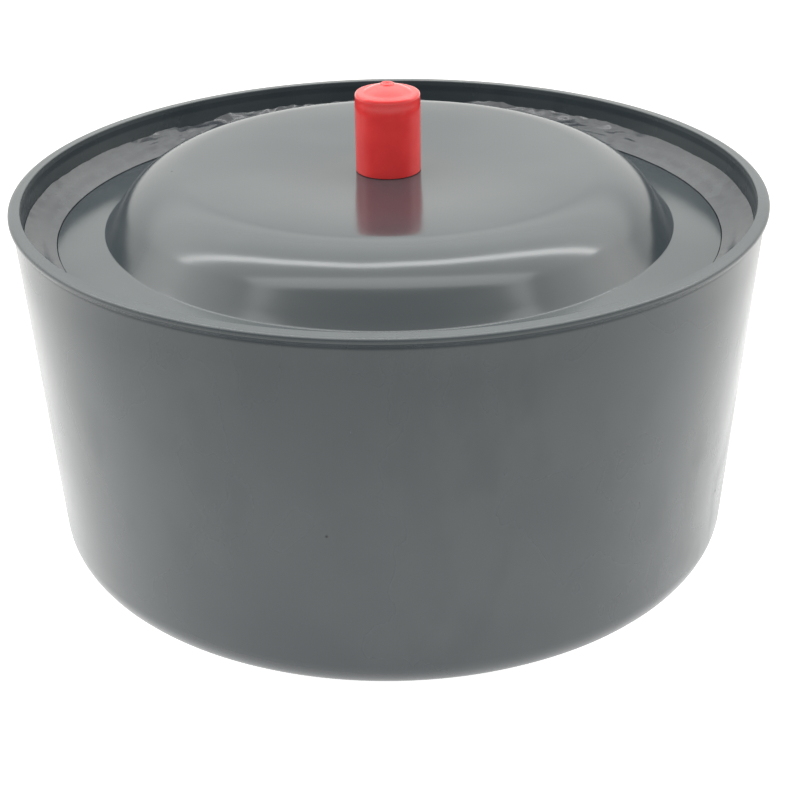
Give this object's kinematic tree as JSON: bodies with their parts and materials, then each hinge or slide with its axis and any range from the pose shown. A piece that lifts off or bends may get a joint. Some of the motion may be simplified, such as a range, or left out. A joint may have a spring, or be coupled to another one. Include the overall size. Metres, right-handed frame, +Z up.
{
  "type": "rock tumbler barrel",
  "caption": "Tapered round tumbling bowl with a recessed domed lid, pulled down on a bonded seat ring by a turning knob on a central tie rod; drive hub under the floor.",
  "frame": {"origin": "centre of the face that the barrel stands on", "axes": "+Z up along the barrel's own axis, out of its mouth; the barrel is round about Z"},
  "size_m": [0.1998, 0.1998, 0.1273],
  "materials": {
    "black_plastic": "satin moulded plastic, lightly scuffed",
    "liner_rubber": "moulded rubber, matt",
    "sealant": "hand-applied, wet-looking gloss",
    "seal_rubber": "moulded rubber, matt",
    "red_plastic": "satin moulded plastic",
    "steel": "zinc-plated and stainless steel",
    "brass": "turned",
    "cast_aluminium": "cast, faced on the underside"
  },
  "bodies": {
    "barrel": {"barrel_shell": "black_plastic", "liner_floor": "liner_rubber", "liner_wall": "liner_rubber", "seat_ring": "black_plastic", "sealant_bead": "sealant", "tie_rod": "steel", "rod_seal": "seal_rubber", "rod_washer": "steel", "rod_nut": "steel", "clamp_plate": "steel", "drive_hub": "cast_aluminium", "hub_screw_1": "steel", "hub_screw_2": "steel", "hub_screw_3": "steel", "hub_screw_4": "steel", "hub_washer_1": "steel", "hub_washer_2": "steel", "hub_washer_3": "steel", "hub_washer_4": "steel", "hub_nut_1": "steel", "hub_nut_2": "steel", "hub_nut_3": "steel", "hub_nut_4": "steel", "set_screw_1": "steel", "set_screw_2": "steel"},
    "lid": {"lid": "black_plastic", "lid_gasket": "seal_rubber"},
    "knob_carrier": {"stud_seal": "seal_rubber", "knob_washer": "steel"},
    "knob": {"knob": "red_plastic", "knob_insert": "brass"}
  },
  "joints": [
    {"name": "lid_lift", "type": "slide", "parent": "barrel", "child": "lid", "axis": [0, 0, 1], "range_m": [0, 0.05]},
    {"name": "knob_travel", "type": "slide", "parent": "lid", "child": "knob_carrier", "axis": [0, 0, 1], "range_m": [0, 0.0101]},
    {"name": "knob_turn", "type": "hinge", "parent": "knob_carrier", "child": "knob", "pos_m": [0, 0, 0.104], "axis": [0, 0, 1], "range_deg": [0, 3600]}
  ],
  "couplings": [
    {"joint": "knob_travel", "follows": "knob_turn", "m_per_rad": 0.00015915}
  ]
}
